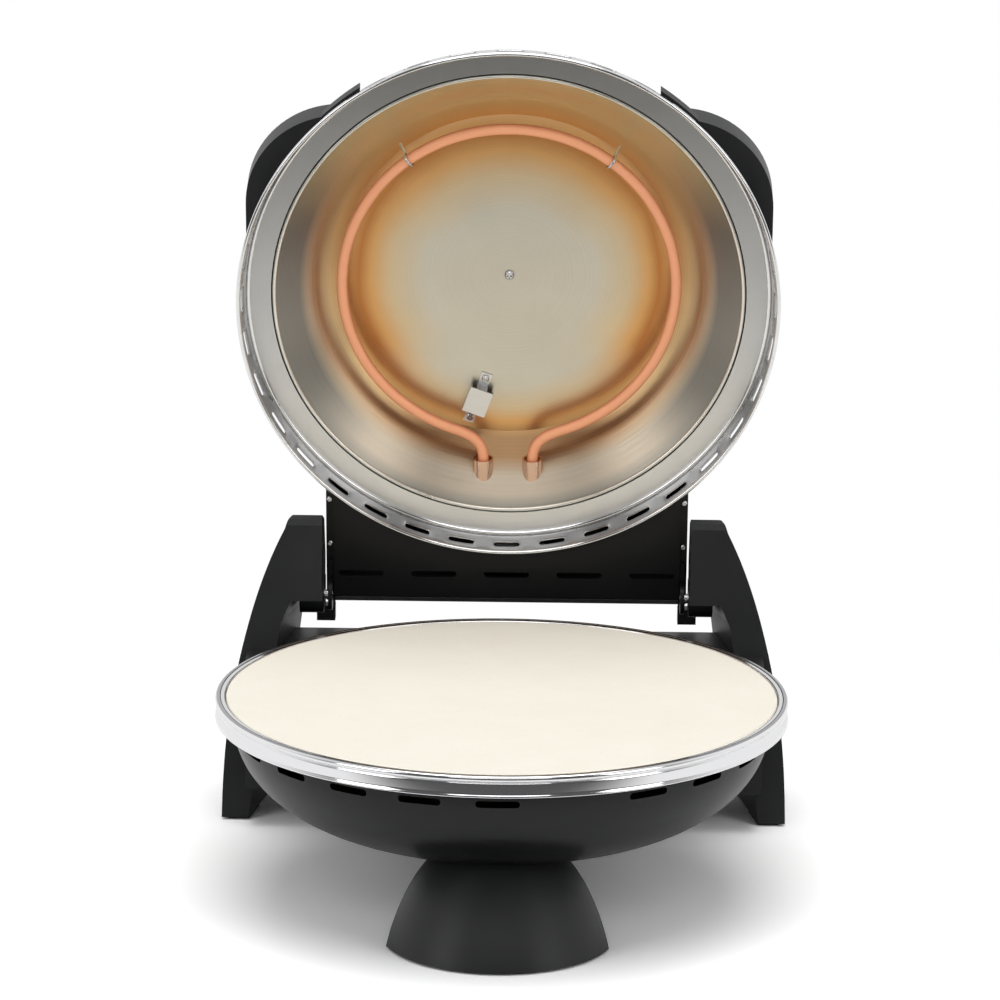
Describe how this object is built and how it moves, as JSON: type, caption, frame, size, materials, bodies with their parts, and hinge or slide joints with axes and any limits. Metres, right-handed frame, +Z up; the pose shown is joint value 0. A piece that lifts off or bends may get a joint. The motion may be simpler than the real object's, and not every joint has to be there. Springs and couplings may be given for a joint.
{
  "type": "electric stone pizza maker",
  "caption": "Round countertop cooker with a baking stone in a bowl, domed lid with its own heating ring that hinges back on two pins, and two control knobs.",
  "frame": {"origin": "middle of the underside of the whole set's box, lid open, on the surface it stands on", "axes": "+Z up, -Y towards the front foot, +Y towards the hinge, +X to the right of someone facing the front"},
  "size_m": [0.3334, 0.3934, 0.4632],
  "materials": {
    "black_enamel": "satin stove enamel",
    "chrome": "polished",
    "pan_steel": "spun and brushed, heat tinted",
    "heater": "matt, glowing",
    "ferrule": "polished",
    "bright_steel": "zinc plated",
    "ceramic": "unglazed",
    "black_plastic": "fine spark texture",
    "rubber": "matt",
    "sleeve": "glass fibre sleeve",
    "stone": "smooth, unglazed",
    "satin_steel": "satin",
    "insulation": "dull",
    "black_sheet": "semi gloss powder coat",
    "lamp": "clear tint",
    "knob_plastic": "semi gloss"
  },
  "bodies": {
    "base": {"bowl": "black_enamel", "rim_ring": "chrome", "lower_pan": "pan_steel", "lower_heater": "heater", "lower_heater_ferrules": "ferrule", "lower_heater_clips": "bright_steel", "thermal_cutout": "ceramic", "front_foot": "black_plastic", "front_foot_pad": "rubber", "foot_screws": "bright_steel", "left_arm": "black_plastic", "right_arm": "black_plastic", "left_arm_cover": "black_plastic", "right_arm_cover": "black_plastic", "arm_pads": "rubber", "lid_stop_pads": "rubber", "hinge_pins": "bright_steel", "rear_housing": "black_plastic", "housing_cover": "black_plastic", "housing_screws": "bright_steel", "cord_inlet": "rubber", "base_terminal_block": "ceramic", "base_wires": "sleeve"},
    "stone": {"baking_stone": "stone"},
    "lid": {"lid_dome": "black_enamel", "lid_skirt": "chrome", "lid_flange": "satin_steel", "upper_pan": "pan_steel", "upper_heater": "heater", "upper_heater_ferrules": "ferrule", "upper_heater_clips": "bright_steel", "pan_screw": "bright_steel", "sensor_cover": "satin_steel", "sensor_bulb": "ferrule", "sensor_screws": "bright_steel", "lid_insulation": "insulation", "lid_wires": "sleeve", "lid_terminal_block": "ceramic", "hinge_cover": "black_sheet", "hinge_panel": "black_sheet", "hinge_ears": "black_sheet", "hinge_box_screws": "bright_steel", "handle_bridge": "black_plastic", "handle_tabs": "black_plastic", "thermostat_body": "insulation", "timer_body": "insulation", "pilot_lamp": "lamp"},
    "thermostat": {"thermostat_knob": "knob_plastic", "thermostat_knob_cap": "satin_steel", "thermostat_shaft": "bright_steel"},
    "timer": {"timer_knob": "knob_plastic", "timer_knob_cap": "satin_steel", "timer_shaft": "bright_steel"}
  },
  "joints": [
    {"name": "lid_hinge", "type": "hinge", "parent": "base", "child": "lid", "pos_m": [0, 0.15218, 0.1244], "axis": [1, 0, 0], "range_deg": [0, 79]},
    {"name": "stone_lift", "type": "slide", "parent": "base", "child": "stone", "axis": [0, 0, 1], "range_m": [0, 0.007]},
    {"name": "thermostat_turn", "type": "hinge", "parent": "lid", "child": "thermostat", "pos_m": [-0.042, 0.17551, 0.3995], "axis": [0, 0.8613, 0.5081], "range_deg": [-270, 0]},
    {"name": "timer_turn", "type": "hinge", "parent": "lid", "child": "timer", "pos_m": [0.042, 0.17551, 0.3995], "axis": [0, 0.8613, 0.5081], "range_deg": [-300, 0]}
  ]
}
